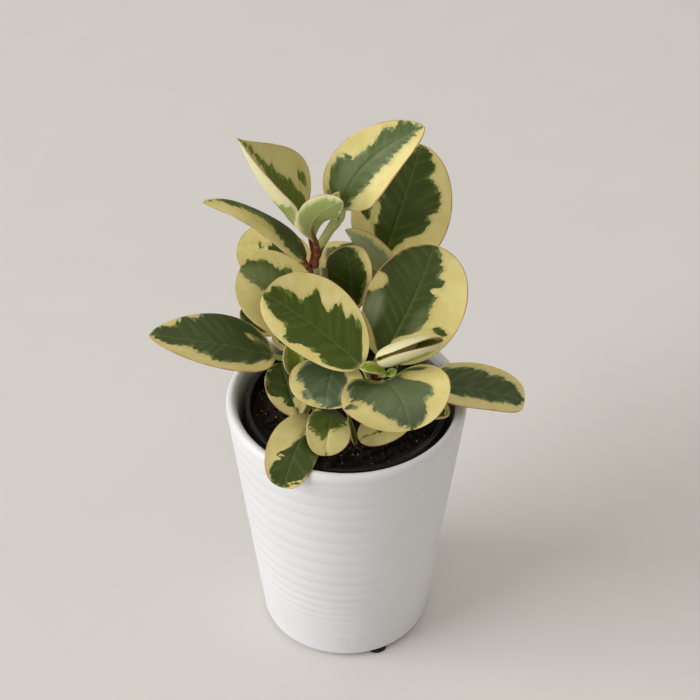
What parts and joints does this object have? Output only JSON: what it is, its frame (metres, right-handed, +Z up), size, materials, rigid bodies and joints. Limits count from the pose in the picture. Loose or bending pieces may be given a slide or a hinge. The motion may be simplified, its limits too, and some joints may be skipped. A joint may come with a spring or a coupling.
{
  "type": "potted peperomia",
  "caption": "Variegated peperomia plant with thick oval leaves, growing in a black nursery pot inside a tapered white ribbed ceramic pot that stands on small pads.",
  "frame": {"origin": "middle of the ceramic pot's flat underside; the small foot pads reach 1.5 mm below it", "axes": "+Z up along the pot's axis, -Y towards the viewer's side, +X to the right"},
  "size_m": [0.1983, 0.1528, 0.3225],
  "materials": {
    "ceramic": "matt white glaze over fine turned ribs",
    "pad": "matt black foam",
    "nursery_plastic": "satin black",
    "soil": "moist dark potting soil with pale grains",
    "stem": "smooth succulent stem, green with a red flush",
    "leaf": "waxy satin leaf, green centre with a cream margin and a thin red edge"
  },
  "bodies": {
    "root": {"ceramic_pot": "ceramic", "foot_pad_front": "pad", "foot_pad_right": "pad", "foot_pad_back": "pad", "foot_pad_left": "pad", "nursery_pot": "nursery_plastic", "soil": "soil", "main_stem": "stem", "right_shoot": "stem", "left_shoot": "stem", "leaf_upper_left": "leaf", "leaf_long_left": "leaf", "leaf_young_centre": "leaf", "leaf_top": "leaf", "leaf_upper_right": "leaf", "leaf_folded_middle": "leaf", "leaf_shaded_middle": "leaf", "leaf_right_large": "leaf", "leaf_rolled": "leaf", "leaf_front_large": "leaf", "leaf_front_heart": "leaf", "leaf_right_long": "leaf", "leaf_far_left": "leaf", "leaf_left_middle": "leaf", "leaf_left_back": "leaf", "leaf_behind_front": "leaf", "leaf_low_back_left": "leaf", "leaf_young_left": "leaf", "leaf_low_left": "leaf", "leaf_over_rim": "leaf", "leaf_front_blue": "leaf", "leaf_front_drooping": "leaf", "leaf_sliver": "leaf", "leaf_low_front": "leaf", "leaf_low_right": "leaf", "leaf_back_right": "leaf", "leaf_back_left": "leaf", "leaf_back_centre": "leaf", "leaf_back_low": "leaf"}
  },
  "joints": []
}
